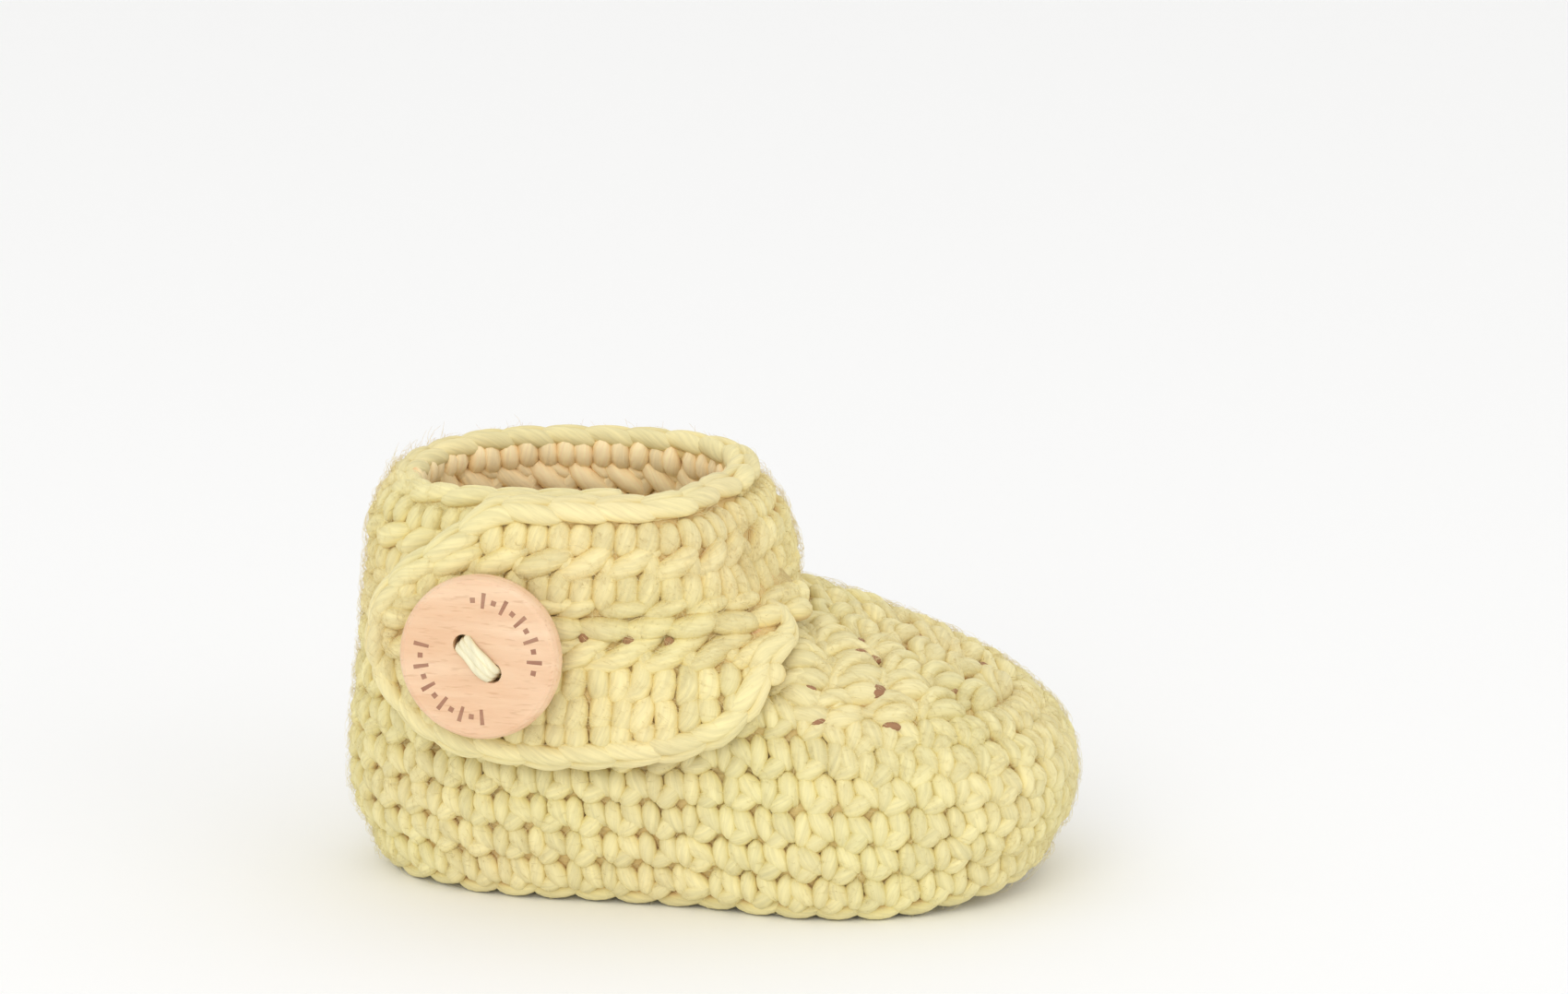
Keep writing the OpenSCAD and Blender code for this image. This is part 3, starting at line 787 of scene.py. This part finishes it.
def build_toe_cap(material, inside_lit_yarn):
    yarn, inside = Yarn(), Yarn()
    turn = np.arange(-TOE_HALF_ANGLE, TOE_HALF_ANGLE + 0.1, 5)
    foot_core(yarn, WALL_TOP, CUFF_BOTTOM, 12, turn)
    span = np.arange(-67, 67.1, 0.5)
    for number in range(9):
        b = CAP_ROW * (number + 0.45)
        in_row = span[np.interp(span, CAP_TURN, CAP_LENGTH) - b > -0.4 * MM]
        if len(in_row) < 8:
            break
        start, end = in_row[0], in_row[-1]
        if number < 2:
            places, pitch = around(b, PITCH, start, end, 0.3 + ROUND_SHIFT * number, cap_patch)
            ovals = single_crochet(places, b, pitch, CAP_ROW / STITCH_HEIGHT)
        else:
            shift = 0.6 if number == 2 else 0.5 * (number % 2)
            places, pitch = around(b, LOOP_PITCH, start, end, shift, cap_patch)
            if number == 2:
                places = np.insert(places, 0, start)
            if number % 2 == 0:
                places = np.append(places, end)
            ovals, holes = [], []
            for place, angle in enumerate(places):
                hollow = number in (2, 4, 5) and place % 2 == (number == 2)
                size = 1.35 if number == 2 and place == 1 else 1.0
                ovals += toe_loops(angle, b, pitch, 1 if number % 2 else -1, hollow)
                # A small oval painted dark stands for the shade in the hollow.
                if hollow:
                    holes.append(oval(angle, b, pitch / 2, 2.3, 90, 2.8 * size, 1.7 * size, 1.2,
                                      0.45 + 1.4 * (size - 1), (0.15, 0, 15, 0)))
            if holes:
                lay(yarn, cap_patch, holes, COARSE, deep_at=HOLLOW_SHADE)
        lay(yarn, cap_patch, ovals, LONG)
        if number < 7:
            places, pitch = around(b, 5.0, start + 2, end - 2, patch=cap_patch)
            lay(inside, cap_inner_patch, single_crochet(-places, b, pitch * 0.85, 0.95), COARSE)
    # Ovals painted dark for the shade in the larger gaps.
    lay(yarn, cap_patch, [oval(angle, b * MM, 0, 0, 90, long, long / 2, 1.1, rise, (0, 0, 15, 0))
                          for angle, b, long, rise in CAP_GAPS], COARSE, deep_at=HOLLOW_SHADE)
    # A last row fills up to the join with the cuff.
    ovals = []
    for angle in np.arange(-52, 53, 8.0):
        b = np.interp(angle, CAP_TURN, CAP_LENGTH) - 1.0 * MM
        ovals.append(oval(angle, b, 0, 0, 0, 4.4, 3.0, 2.4, -0.15, (0, 0, 8, 0.1), tip=0.1))
    lay(yarn, cap_patch, ovals)
    fuzz(yarn, skin, 2000, (-TOE_HALF_ANGLE, WALL_TOP), (TOE_HALF_ANGLE, CUFF_BOTTOM - 1 * MM))
    return yarn.piece("toe_cap_loops", material), inside.piece("toe_cap_inside", inside_lit_yarn)


def spine_patch(a, b):
    """The middle of the sole's underside. a is the place along the foot, b across it, both in metres."""
    a, b = np.broadcast_arrays(np.asarray(a, float), np.asarray(b, float))
    return np.stack([a, -b, SOLE_Z + toe_lift(a)], axis=-1)


def insole_spine_patch(a, b):
    p = spine_patch(a, b) * np.array([1, -1, 1])
    p[..., 2] = WALL_BOTTOM
    return p


def sole_rounds(yarn, patch, spine, fineness):
    """Rounds of stitches from the edge in, and one row down the middle that closes them."""
    for number in range(3):
        b = (5.2 + 4.4 * number) * MM
        places, pitch = around(b, PITCH, shift=0.4 * number, patch=patch)
        lay(yarn, patch, single_crochet(places, b, pitch, 0.95), fineness)
    for across in (-6.0, -2.4, 0.0, 2.4, 6.0):
        start, end = (-0.31, 0.27) if abs(across) < 5 else (0.02, 0.26)
        places = np.arange(start * FOOT_LENGTH, end * FOOT_LENGTH, PITCH * MM)
        ovals = single_crochet(places + across * 0.4 * MM, across * MM, PITCH, 0.8)
        lay(yarn, spine, ovals, fineness, OUTER_LIFT - 0.08 * abs(across) * MM, da=HEIGHT_STEP)


def build_sole(material, inside_lit_yarn):
    yarn, inside = Yarn(), Yarn()
    turn = np.arange(0, 360, 5)
    depth = np.concatenate([[3 * MM], np.linspace(5 * MM, 17 * MM, 5)])
    b, a = np.meshgrid(depth, turn, indexing="ij")
    under, over = sole_patch(a, b), sole_patch(a, b)
    under[..., 2] += 1.0 * MM
    over[..., 2] = WALL_BOTTOM - 1.2 * MM + toe_lift(over[..., 0]) * 0.9
    yarn.shell(under, over, True)
    middle = np.array([mix(under[-1], under[-1].mean(0), share) for share in (0, 0.5, 0.97)])
    yarn.shell(middle, middle + np.array([0, 0, WALL_BOTTOM - 3.1 * MM]), True)
    sole_rounds(yarn, sole_patch, spine_patch, FINE)
    sole_rounds(inside, insole_patch, insole_spine_patch, COARSE)
    yarn.press(0.15 * MM)
    return yarn.piece("sole_stitches", material), inside.piece("insole_stitches", inside_lit_yarn)


def build_sole_edge(material):
    yarn = Yarn()
    places, _ = around(1.5 * MM, 5.2)
    ovals = [oval(angle, 1.0 * MM, 0, 0, 82, 7.2, 2.6, 2.4, 0.35, (0, 0, 3, 0.08), bow=0.3) for angle in places]
    lay(yarn, skin, ovals, LONG, OUTER_LIFT - 0.2 * MM)
    return yarn.piece("sole_edge_chain", material)


# The cuff and flap are worked flat, in rows that look different by turns, from the rim down:
# upright bars, slanted loops, bars, wide flat loops, slanted loops, and two rows of bars.
FABRIC_ROWS = [(48.0, "bars", 3.0), (44.9, "slants", 3.2), (41.6, "bars", 3.4), (37.9, "flats", 4.0),
               (33.9, "slants", 3.2), (30.4, "bars", 3.6), (26.6, "bars", 3.6), (23.2, "bars", 3.0)]


def row_ovals(kind, angle, z, tall, pitch, turn=1):
    """The ovals of one stitch of a cuff or flap row. turn is -1 on the back, where a slant leans the other way."""
    half = pitch / 2
    if kind == "bars":
        return [oval(angle, z, half * (side - 0.5), 0, 5, tall + 1.5, half + 0.45, 2.3, 0.2, (0.12, 0.12, 6, 0.1),
                     turn, tip=0.05) for side in (0, 1)]
    if kind == "slants":
        return [oval(angle, z, 0, 0, 60, pitch + 1.9, 3.1, 2.6, 0.35, (0.15, 0.1, 5, 0.08), turn, 0.3, -0.05),
                oval(angle, z, half, -0.35, -35, tall + 1.6, 2.7, 2.2, -0.05, (0.15, 0, 6, 0.08), turn),
                oval(angle, z, half - 0.6, 1.0, 70, tall + 0.6, 1.9, 2.0, -0.1, (0.15, 0, 6, 0.08), turn)]
    return [oval(angle, z, 0, -0.7, 84, pitch + 1.4, tall * 0.8, 2.6, 0.3, (0.15, 0.1, 5, 0.08), turn, 0.25),
            oval(angle, z, half, 1.2, 79, pitch + 1.0, tall * 0.6, 2.3, 0.2, (0.15, 0, 6, 0.08), turn, -0.3)]


BACK_RISE = (1.5, 0.9, 0.3, 0.0)    # mm that the cuff's rows stand higher on its leaning inner face


def build_ankle_cuff(material, inside_lit_yarn):
    yarn, inside = Yarn(), Yarn()
    turn = np.linspace(CUFF_START, CUFF_END, 62)
    foot_core(yarn, CUFF_BOTTOM, CUFF_TOP, 7, turn)
    foot_core(yarn, CUFF_BOTTOM - 0.5 * MM, ROOT_Z, 3, np.linspace(-48, CUFF_START + 1, 8))   # under the flap
    for number, (height, kind, tall) in enumerate(FABRIC_ROWS[:4]):
        z = height * MM
        places, pitch = around(z, CUFF_PITCH, CUFF_START - 1, CUFF_END, 0.08 + 0.5 * (number % 2))
        if number % 2:
            places = np.insert(places, 0, CUFF_START - 1.2)
        if number == 3:
            places = np.insert(places, 0, (-41.0, -30.0))      # the lowest row runs on under the flap
        ovals, back = [], []
        for angle in places:
            covered = angle > 225
            ovals += [dict(shape, rise=shape["rise"] - 0.3 * covered)
                       for shape in row_ovals(kind, angle, z, tall, pitch)]
            if angle > CUFF_START + 4 or number == 3:
                back += row_ovals(kind, -angle, z + BACK_RISE[number] * MM, tall, pitch * 0.87, -1)
        lay(yarn, skin, ovals)
        lay(inside, inner_patch, back, COARSE, deepest=BACK_SHADE)
    z = np.linspace(CUFF_TOP + 0.4 * MM, CUFF_BOTTOM + 0.5 * MM, 40)
    turn = np.full_like(z, CUFF_END)
    _, right, _, n = patch_frames(skin, turn, z)
    path = skin(turn, z) - n * FABRIC * 0.52
    cord_inside(yarn, path, n, 2.4 * MM)
    braid(yarn, path, n, right, 4.6, 1.1, facing=88, spread=64, wide=2.4, high=1.9)
    fuzz(yarn, skin, 2000, (CUFF_START, CUFF_BOTTOM), (215, CUFF_TOP))
    return yarn.piece("ankle_cuff_stitches", material), inside.piece("ankle_cuff_inside", inside_lit_yarn)


def braid(yarn, path, normal, edge, pitch, radius, facing=90.0, spread=50.0, wide=2.6, high=2.2, fade=0.0):
    """A chain of V-shaped loops along the edge of a fabric. path runs through the middle of its thickness, normal
    points out of its face and edge away from the fabric. facing turns the chain from the face (0) to the edge (90).
    Over the last fade mm it thins out."""
    travel = travelled(path)
    count = max(1, round(travel[-1] / (pitch * MM)))
    step = travel[-1] / count
    rings = 11
    t = np.linspace(0, 1, rings)[None, :]
    starts = (np.arange(count) - 0.2)[:, None] * step
    s = np.clip(starts + t * step * 1.5, 0, travel[-1])
    size = 1 - 0.3 * ease(s, travel[-1] - fade * MM, travel[-1]) * (fade > 0)

    def follow(values):
        return np.stack([np.interp(s, travel, values[:, k]) for k in range(3)], axis=-1)

    p, n, e = follow(path), unit(follow(normal)), follow(edge)
    e = unit(e - n * np.sum(e * n, axis=-1, keepdims=True))
    body = np.maximum((1 - np.abs(2 * t - 1) ** 3) ** 0.5, 0.2)
    for leg in (-1, 1):
        turn = np.radians(facing + leg * (spread - (spread - 12) * t) + rng.normal(0, 2.5, (count, 1)))
        out = n * np.cos(turn)[..., None] + e * np.sin(turn)[..., None]
        sunk = radius * MM * (0.82 + 0.2 * np.sin(np.pi * t)) * size
        yarn.sweep(p + out * sunk[..., None], out, wide * MM * body * size, high * MM * body * size, 10, 0.42, 0.8)


def cord_inside(yarn, path, normal, width):
    """A plain strand under a braid, so that nothing shows through it."""
    width = np.broadcast_to(width, (1, len(path)))
    yarn.sweep(path[None], normal[None], width, width, 8, 0.5, 0.6)


def build_cuff_rim(material):
    yarn = Yarn()
    turn = np.linspace(CUFF_START - 1.5, CUFF_END - 1, 120)
    z = np.full_like(turn, CUFF_TOP)
    n = patch_frames(skin, turn, z)[3]
    n[:, 2] = 0
    path = skin(turn, z, -FABRIC / 2)
    path[:, 2] += 0.2 * MM - 1.3 * MM * np.exp(-((turn - 185) / 48) ** 2)
    up = np.tile([0.0, 0.0, 1.0], (len(turn), 1))
    cord_inside(yarn, path, n, 3.3 * MM)
    braid(yarn, path, n, up, 5.2, 1.45, spread=60)
    fuzz(yarn, skin, 1100, (CUFF_START, CUFF_TOP - 1.0 * MM), (240, CUFF_TOP + 0.8 * MM), -0.8 * MM)
    return yarn.piece("cuff_rim_chain", material)


def build_cuff_join(material):
    yarn = Yarn()
    turn = np.linspace(CUFF_START - 32, CUFF_START + 328, 180)
    z = CUFF_BOTTOM + 0.8 * MM * (1 - ease(turn, CUFF_START - 2, CUFF_START + 12) + ease(turn, 296, 310))
    n = patch_frames(skin, turn, z)[3]
    under_flap = ease(turn, 200, 214)
    path = skin(turn, z, -1.4 * MM - 0.7 * MM * under_flap)
    up = np.tile([0.0, 0.0, 1.0], (len(turn), 1))
    cord_inside(yarn, path, n, 2.6 * MM)
    braid(yarn, path, n, up, 5.2, 1.3, facing=10, spread=62, wide=2.4, high=2.0)
    return yarn.piece("cuff_join_chain", material)


# The flap as a flat pattern: distance along the ring of the ankle, and height.
PATTERN_TURN = np.linspace(190, 342, 400)
PATTERN_TRAVEL = travelled(flap_outer(PATTERN_TURN, np.full_like(PATTERN_TURN, 38 * MM)))


def flap_outline(steps=60):
    """The flap's outline as (angle, height), round from the root by the rim, the tip and the lower edge."""
    upper = [top_edge(u) for u in np.linspace(1, 0, steps)]
    lower = [bottom_edge(u) for u in np.linspace(0, 1, steps)]
    return np.array(upper + lower)


def room_in_flap(angle, z, outline):
    """How far inside the flap's outline a point of it lies, in the flat; negative outside."""
    x = np.interp(angle, PATTERN_TURN, PATTERN_TRAVEL)
    shape = np.stack([np.interp(outline[:, 0], PATTERN_TURN, PATTERN_TRAVEL), outline[:, 1]], axis=-1)
    start, end = shape, np.roll(shape, -1, axis=0)
    edge = end - start
    offset = np.array([x, z]) - start
    share = np.clip(np.sum(offset * edge, axis=1) / np.maximum(np.sum(edge * edge, axis=1), 1e-18), 0, 1)
    gaps = np.linalg.norm(offset - edge * share[:, None], axis=1)
    crosses = (start[:, 1] > z) != (end[:, 1] > z)
    where = start[:, 0] + (z - start[:, 1]) / np.where(edge[:, 1] == 0, 1e-12, edge[:, 1]) * edge[:, 0]
    inside = np.count_nonzero(crosses & (x < where)) % 2 == 1
    nearest = gaps[:-1].min()           # the root's own line is no edge
    return nearest if inside else -nearest


def build_flap(material, inside_lit_yarn):
    yarn, back = Yarn(), Yarn()
    rows, cols = 12, 44
    grid = np.array([[mix(np.array(bottom_edge(i / cols)), np.array(top_edge(i / cols)), j / rows)
                      for i in range(cols + 1)] for j in range(rows + 1)])
    grid[:, -1, 0] = ROOT_ANGLE + 3         # into the cuff's own wall
    a, b = grid[..., 0], grid[..., 1]
    lift = flap_lift(a, b)
    yarn.shell(skin(a, b, lift + FABRIC + CORE_OUT), skin(a, b, lift - CORE_OUT), False)
    outline = flap_outline()
    outline[0, 0] += 6              # the rows run on over the root
    outline = np.vstack([outline, [ROOT_ANGLE + 6, ROOT_Z - 1.0 * MM]])
    for number, (height, kind, tall) in enumerate(FABRIC_ROWS):
        z = height * MM
        ovals, reverse, holes = [], [], []
        for angle in flap_places(z, CUFF_PITCH, 0.92 - 0.5 * (number % 2)):
            ovals += row_ovals(kind, angle, z, tall, CUFF_PITCH)
            if angle < ROOT_ANGLE - 4:
                reverse += row_ovals(kind, -angle, z, tall, CUFF_PITCH * 0.9, -1)
            # Small ovals painted dark stand for the shade in the holes of the fifth row.
            if number == 4 and room_in_flap(angle, z, outline) > 4 * MM:
                holes.append(dict(at=(angle, z), move=(-1.3 + vary(0.15), 1.75 + vary(0.15)), lean=90 + vary(20),
                                  long=1.8 + vary(0.2), wide=1.3, high=1.0, rise=0.86))
        ovals, reverse = clip_to_flap(ovals, outline), clip_to_flap(reverse, outline, -1)
        lay(yarn, flap_outer, ovals, deepest=FLAP_SHADE)
        if holes:
            lay(yarn, flap_outer, holes, COARSE, deep_at=HOLLOW_SHADE)
        if reverse:
            lay(back, flap_inner, reverse, COARSE, UNDER_LIFT, deepest=BACK_SHADE)
    # Two stitches close the lower corner of the root.
    lay(yarn, flap_outer, [oval(ROOT_ANGLE + on, ROOT_Z + up * MM, 0, 0, lean, 6.0, 3.2, 2.6, rise)
                           for on, up, lean, rise in ((2.5, 1.2, 78, -0.25), (-5.0, 1.5, 84, 0.0))])

    def on_flap(angle, z):
        return room_in_flap(angle, z, outline) > 0.5 * MM

    fuzz(yarn, flap_outer, 3600, (200, FLAP_BOTTOM), (340, FLAP_TOP), keep=on_flap)
    return yarn.piece("wrap_flap_stitches", material), back.piece("wrap_flap_back", inside_lit_yarn)


def clip_to_flap(ovals, outline, side=1):
    """Keeps the part of each oval that lies inside the flap's outline, and drops the ones with little left."""
    kept = []
    for shape in ovals:
        angle, z = shape["at"]
        lean = math.radians(shape["lean"])
        along = np.array([math.sin(lean) * side, math.cos(lean)]) * shape["long"] / 2 * MM
        start = np.array([np.interp(angle * side, PATTERN_TURN, PATTERN_TRAVEL) + shape["move"][0] * MM * side,
                          z + shape["move"][1] * MM])
        shares = np.linspace(-1, 1, 9)
        clear = []
        for share in shares:
            x, height = start + along * share
            clear.append(room_in_flap(np.interp(x, PATTERN_TRAVEL, PATTERN_TURN), height, outline) > 0.1 * MM)
        if sum(clear) < 4:
            continue
        inside = shares[np.array(clear)]
        middle, half = (inside[0] + inside[-1]) / 2, (inside[-1] - inside[0]) / 2
        shift = np.array([math.sin(lean), math.cos(lean)]) * shape["long"] / 2 * middle
        kept.append(dict(shape, move=(shape["move"][0] + shift[0], shape["move"][1] + shift[1]),
                         long=max(shape["long"] * half + 0.7, 2.6)))
    return kept


def flap_places(z, pitch, shift):
    """Stitch angles along the flap at height z, counted back from its root."""
    turn = np.linspace(ROOT_ANGLE + 1, 200, 600)
    travel = travelled(flap_outer(turn, np.full_like(turn, z)))
    return np.interp(np.arange(shift * pitch * MM, travel[-1], pitch * MM), travel, turn)


def build_flap_edging(material):
    yarn = Yarn()
    outline = flap_outline(90)
    a, b = outline[:, 0], outline[:, 1]
    path = skin(a, b, flap_lift(a, b) + FABRIC / 2 + 0.1 * MM)
    n = patch_frames(flap_outer, a, b)[3]
    edge = unit(np.cross(np.gradient(path, axis=0), n))
    last = len(path) - 1
    cord_inside(yarn, path, n, np.interp(np.arange(last + 1), [last - 19, last], [2.8, 2.0]) * MM)
    braid(yarn, path, n, edge, 5.3, 1.5, facing=42, spread=52, wide=2.6, fade=11)
    return yarn.piece("flap_edge_chain", material)


# ---------------------------------------------------------------- button's yarn

BUTTON_FOOT = np.array(BUTTON_JOINT["pos_m"])
BUTTON_BASE = np.array(BUTTON_TURN).T       # turns points of the button into the part's frame
HOLES_TURN = math.radians(-42)              # the line of the two holes slopes down towards the toe
HOLE_REACH = 2.6                            # mm from the button's middle to the strands' way down
BAR_TOP = 4.95                              # mm from the flap to the middle of the bar's yarn


def build_button_yarn(material):
    """Three strands side by side through the button's holes, with their ends down in them."""
    yarn = Yarn()
    across = np.array([math.cos(HOLES_TURN), math.sin(HOLES_TURN), 0])
    along = np.array([-math.sin(HOLES_TURN), math.cos(HOLES_TURN), 0])
    out_of_face = np.array([0, 0, 1.0])
    t = np.linspace(-1, 1, 21)
    flat = 0.72                                 # the share of a strand that lies on the face
    x = HOLE_REACH * MM * np.sign(t) * np.minimum(np.abs(t) * 1.28, 1)
    lean = np.clip((np.abs(t) - 0.6) / 0.4, 0, 1)[:, None] * np.sign(t)[:, None]
    out = np.tile(out_of_face @ BUTTON_BASE, (len(t), 1)) + (along @ BUTTON_BASE) * lean
    width = np.full((1, len(t)), 1.15 * MM)
    for side in (-1, 0, 1):
        z = (BAR_TOP - 0.35 * np.clip(np.abs(t) / flat, 0, 1) ** 3) * MM
        z = z - 3.8 * MM * np.clip(np.abs(t) - flat, 0, 1) / (1 - flat) + (0.12 * MM if side == 0 else 0)
        twist = side * (0.72 + 0.08 * np.sin(t * 5)) * MM + 0.12 * MM * np.sin(t * 2.2)
        local = along * x[:, None] + across * twist[:, None] + out_of_face * z[:, None]
        yarn.sweep((BUTTON_FOOT + local @ BUTTON_BASE)[None], out[None], width, width, 12, 0.6)
    return yarn.piece("button_yarn_strands", material)


def build_knot(material):
    """The sewing yarn's knot behind the flap: a few turns wound over each other."""
    yarn = Yarn()
    turns = 3
    swing = np.linspace(0, 1, 70) * 2 * math.pi * turns
    r = 1.9 * MM + 0.3 * MM * np.sin(swing * 0.5)
    z = -2.75 * MM + 0.25 * MM * np.sin(swing * 1.5 + 1)
    local = np.stack([r * np.cos(swing), r * np.sin(swing) * 0.9, z], -1)
    out = np.tile([0.0, 0.0, -1.0], (len(swing), 1))
    width = np.full((1, len(swing)), 1.0 * MM)
    yarn.sweep((BUTTON_FOOT + local @ BUTTON_BASE)[None], (out @ BUTTON_BASE)[None], width, width, 10, 0.5)
    return yarn.piece("yarn_knot_turns", material)


# ---------------------------------------------------------------- camera, floor, light

def build_camera():
    """A long lens a little above the ground, in front of the flap's side and just towards the toe."""
    azimuth, elevation, distance = math.radians(5), math.radians(14), 0.75
    toward = Vector((math.sin(azimuth) * math.cos(elevation), -math.cos(azimuth) * math.cos(elevation),
                     math.sin(elevation)))
    right = Vector((math.cos(azimuth), math.sin(azimuth), 0))
    up = toward.cross(right)
    target = Vector((0, 0, 24.8 * MM)) + right * 8.55 * MM + up * 21.85 * MM
    camera = bpy.data.cameras.new("camera")
    camera.lens = 139
    camera.sensor_width = 36
    camera.clip_start = 0.01
    camera.clip_end = 20
    obj = bpy.data.objects.new("camera", camera)
    obj.location = target + toward * distance
    obj.rotation_euler = (-toward).to_track_quat("-Z", "Y").to_euler()
    bpy.context.scene.collection.objects.link(obj)
    bpy.context.scene.camera = obj


def add_light(name, place, aim, size, power, colour=(1, 1, 1)):
    light = bpy.data.lights.new(name, "AREA")
    light.shape = "DISK"
    light.size = size
    light.energy = power
    light.color = colour
    obj = bpy.data.objects.new(name, light)
    obj.location = place
    obj.rotation_euler = (Vector(aim) - Vector(place)).to_track_quat("-Z", "Y").to_euler()
    bpy.context.scene.collection.objects.link(obj)


def build_stage():
    mesh = bpy.data.meshes.new("floor")
    half, back, rise = 2.5, 1.2, 2.2
    points = [(-half, -2.5, 0), (half, -2.5, 0)]
    steps = 12
    for i in range(steps + 1):
        turn = i / steps * math.pi / 2
        y, z = back + math.sin(turn) * 0.6, 0.6 - math.cos(turn) * 0.6
        points += [(-half, y, z), (half, y, z)]
    points += [(-half, back + 0.6, rise), (half, back + 0.6, rise)]
    faces = [(2 * i, 2 * i + 1, 2 * i + 3, 2 * i + 2) for i in range(len(points) // 2 - 1)]
    mesh.from_pydata(points, [], faces)
    mesh.polygons.foreach_set("use_smooth", [True] * len(mesh.polygons))
    floor = bpy.data.objects.new("floor", mesh)
    bpy.context.scene.collection.objects.link(floor)
    material = bpy.data.materials.new("floor_paper")
    material.use_nodes = True
    paper = material.node_tree.nodes["Principled BSDF"]
    paper.inputs["Base Color"].default_value = (0.96, 0.96, 0.955, 1)
    paper.inputs["Roughness"].default_value = 0.9
    mesh.materials.append(material)
    world = bpy.data.worlds.new("studio")
    world.use_nodes = True
    world.node_tree.nodes["Background"].inputs["Color"].default_value = (1, 1, 1, 1)
    world.node_tree.nodes["Background"].inputs["Strength"].default_value = 0.9
    bpy.context.scene.world = world
    add_light("key", (-0.25, -1.25, 0.75), (0, 0, 0.03), 1.0, 4.6, (1, 0.985, 0.96))
    add_light("fill", (0.9, -0.7, 0.6), (0, 0, 0.03), 0.8, 1.2)
    bpy.context.scene.view_settings.view_transform = "Standard"


build_camera()
build_stage()

# Each yarn runs from its crown colour to its crevice and hole colours; the last two are painted shade.
cuff_yarn = yarn_material("baby_yarn", (235, 222, 168), (230, 212, 149), (216, 181, 122), (168, 126, 92))
# The foot's copy of the yarn is a little dimmer and cooler than the cuff's: painted shade on the foot.
foot_yarn = yarn_material("baby_yarn_foot", (232, 221, 168), (226, 211, 149), (213, 180, 122), (163, 122, 90))
# The inside's copy is paler and warmer: painted light, for the warm light that bounces round inside the bootie.
inner_yarn = yarn_material("baby_yarn_inside", (255, 236, 190), (251, 224, 172), (232, 188, 138), (176, 130, 98))
cream_yarn = yarn_material("sewing_yarn", (240, 232, 200), (229, 217, 176), (190, 160, 118), (140, 100, 76))

dress = {
    "sole": build_sole(foot_yarn, inner_yarn),
    "sole_edge_round": [build_sole_edge(foot_yarn)],
    "side_wall": build_side_wall(foot_yarn, inner_yarn),
    "toe_cap": build_toe_cap(foot_yarn, inner_yarn),
    "heel_quarter": build_heel_quarter(foot_yarn, inner_yarn),
    "cuff_join_round": [build_cuff_join(cuff_yarn)],
    "ankle_cuff": build_ankle_cuff(cuff_yarn, inner_yarn),
    "cuff_rim": [build_cuff_rim(cuff_yarn)],
    "wrap_flap": build_flap(cuff_yarn, inner_yarn),
    "flap_edging": [build_flap_edging(cuff_yarn)],
    "button_yarn": [build_button_yarn(cream_yarn)],
    "yarn_knot": [build_knot(cream_yarn)],
}
for node, pieces in dress.items():
    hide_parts(node)
    for piece in pieces:
        if node in ("wrap_flap", "flap_edging"):
            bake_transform(piece)
        else:
            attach(piece, {"button_yarn": "button", "yarn_knot": "flap"}.get(node, "bootie"))

wooden = frame["nodes"]["button"]
wooden.data.materials.clear()
wooden.data.materials.append(wood_material())
